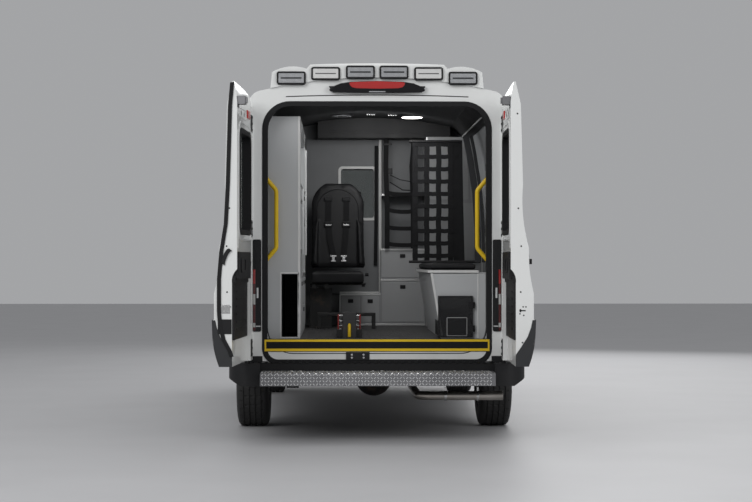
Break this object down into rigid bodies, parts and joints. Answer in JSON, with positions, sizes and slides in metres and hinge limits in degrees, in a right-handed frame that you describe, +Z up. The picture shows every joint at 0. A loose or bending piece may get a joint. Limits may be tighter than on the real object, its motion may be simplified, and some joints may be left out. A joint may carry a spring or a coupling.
{
  "type": "ambulance",
  "caption": "White panel-van ambulance with its rear doors open on a fitted patient room; wheels, steering, doors, hood and bench lid move.",
  "frame": {"origin": "on the ground at the middle of the whole vehicle with its rear doors as stored", "axes": "+X to the vehicle's right, +Y to its front, +Z up"},
  "size_m": [2.472, 6.7932, 2.5619],
  "materials": {
    "body_paint": "white gloss paint",
    "black_plastic": "grained black plastic",
    "grey_plastic": "grained grey plastic",
    "cabinet_laminate": "light grey laminate",
    "fairing": "white moulded plastic",
    "lamp_glass": "clear lamp cover",
    "red_lamp": "red lamp cover",
    "blue_lamp": "blue lamp cover",
    "window_glass": "tinted glass",
    "screen_glass": "clear glass",
    "tyre": "black rubber",
    "wheel_steel": "silver paint",
    "cast_iron": "cast iron",
    "chassis_paint": "black chassis paint",
    "exhaust_steel": "bare steel",
    "step_plate": "chequer plate",
    "floor_rubber": "ribbed rubber",
    "seat_cover": "black vinyl",
    "webbing": "woven strap",
    "rail_yellow": "yellow coating"
  },
  "bodies": {
    "body": {"side_panel_left": "body_paint", "side_panel_right": "body_paint", "sliding_door": "body_paint", "roof": "body_paint", "floor_pan": "chassis_paint", "rear_door_frame": "body_paint", "cab_frame": "body_paint", "front_wings": "body_paint", "grille": "black_plastic", "headlamps": "lamp_glass", "windscreen": "screen_glass", "side_windows": "window_glass", "front_bumper": "black_plastic", "rear_bumper": "black_plastic", "rear_step": "step_plate", "tail_lamps": "red_lamp", "roof_light_fairing": "fairing", "warning_lamps": "blue_lamp", "chassis_frame": "chassis_paint", "bumper_beam": "chassis_paint", "rear_axle": "chassis_paint", "engine_block": "cast_iron", "exhaust": "exhaust_steel", "fuel_tank": "black_plastic", "dashboard": "grey_plastic", "cab_seats": "seat_cover", "floor_covering": "floor_rubber", "partition": "grey_plastic", "front_cabinet": "cabinet_laminate", "left_cabinet": "cabinet_laminate", "squad_bench": "cabinet_laminate", "attendant_seat": "seat_cover", "cargo_nets": "webbing", "stretcher_fastener": "black_plastic", "grab_rails": "rail_yellow"},
    "knuckle_left": {"knuckle_left": "cast_iron"},
    "knuckle_right": {"knuckle_right": "cast_iron"},
    "front_wheel_left": {"tyre_front_left": "tyre", "wheel_front_left": "wheel_steel"},
    "front_wheel_right": {"tyre_front_right": "tyre", "wheel_front_right": "wheel_steel"},
    "rear_wheel_left": {"tyre_rear_left": "tyre", "wheel_rear_left": "wheel_steel"},
    "rear_wheel_right": {"tyre_rear_right": "tyre", "wheel_rear_right": "wheel_steel"},
    "back_door_left": {"rear_door_left": "body_paint", "rear_glass_left": "window_glass"},
    "back_door_right": {"rear_door_right": "body_paint", "rear_glass_right": "window_glass"},
    "driver_door": {"cab_door_left": "body_paint", "cab_glass_left": "screen_glass", "mirror_left": "black_plastic"},
    "passenger_door": {"cab_door_right": "body_paint", "cab_glass_right": "screen_glass", "mirror_right": "black_plastic"},
    "hood": {"hood": "body_paint"},
    "bench_lid": {"bench_lid": "seat_cover"},
    "bench_hatch": {"bench_hatch": "black_plastic"},
    "steering_wheel": {"steering_wheel": "black_plastic"}
  },
  "joints": [
    {"name": "steer_left", "type": "hinge", "parent": "body", "child": "knuckle_left", "pos_m": [-0.79, 2.39582, 0.356], "axis": [0, 0, 1], "range_deg": [-35, 35]},
    {"name": "steer_right", "type": "hinge", "parent": "body", "child": "knuckle_right", "pos_m": [0.79, 2.39582, 0.356], "axis": [0, 0, 1], "range_deg": [-35, 35]},
    {"name": "steering_wheel_turn", "type": "hinge", "parent": "body", "child": "steering_wheel", "pos_m": [-0.4, 1.90258, 1.1423], "axis": [0, -0.829, 0.5592], "range_deg": [-490, 490]},
    {"name": "front_wheel_left_spin", "type": "hinge", "parent": "knuckle_left", "child": "front_wheel_left", "pos_m": [-0.865, 2.39582, 0.356], "axis": [-1, 0, 0], "continuous": true},
    {"name": "front_wheel_right_spin", "type": "hinge", "parent": "knuckle_right", "child": "front_wheel_right", "pos_m": [0.865, 2.39582, 0.356], "axis": [-1, 0, 0], "continuous": true},
    {"name": "rear_wheel_left_spin", "type": "hinge", "parent": "body", "child": "rear_wheel_left", "pos_m": [-0.885, -1.26918, 0.356], "axis": [-1, 0, 0], "continuous": true},
    {"name": "rear_wheel_right_spin", "type": "hinge", "parent": "body", "child": "rear_wheel_right", "pos_m": [0.885, -1.26918, 0.356], "axis": [-1, 0, 0], "continuous": true},
    {"name": "back_door_left_swing", "type": "hinge", "parent": "body", "child": "back_door_left", "pos_m": [-0.884, -2.51918, 1.4], "axis": [0, 0, -1], "range_deg": [-93.8, 86.2]},
    {"name": "back_door_right_swing", "type": "hinge", "parent": "body", "child": "back_door_right", "pos_m": [0.884, -2.51918, 1.4], "axis": [0, 0, 1], "range_deg": [-88.7, 91.3]},
    {"name": "driver_door_swing", "type": "hinge", "parent": "body", "child": "driver_door", "pos_m": [-1.007, 2.17082, 1.3], "axis": [0, 0, -1], "range_deg": [0, 70]},
    {"name": "passenger_door_swing", "type": "hinge", "parent": "body", "child": "passenger_door", "pos_m": [1.007, 2.17082, 1.3], "axis": [0, 0, 1], "range_deg": [0, 70]},
    {"name": "hood_lift", "type": "hinge", "parent": "body", "child": "hood", "pos_m": [0, 2.57682, 1.302], "axis": [1, 0, 0], "range_deg": [0, 60]},
    {"name": "bench_lid_lift", "type": "hinge", "parent": "body", "child": "bench_lid", "pos_m": [0.705, -1.35918, 1.15], "axis": [0, 1, 0], "range_deg": [0, 70]},
    {"name": "bench_hatch_swing", "type": "hinge", "parent": "body", "child": "bench_hatch", "pos_m": [0.668, -2.36318, 0.835], "axis": [0, 0, 1], "range_deg": [0, 100]}
  ],
  "couplings": [
    {"joint": "steer_right", "follows": "steer_left", "ratio": 1},
    {"joint": "steering_wheel_turn", "follows": "steer_left", "ratio": 14}
  ]
}
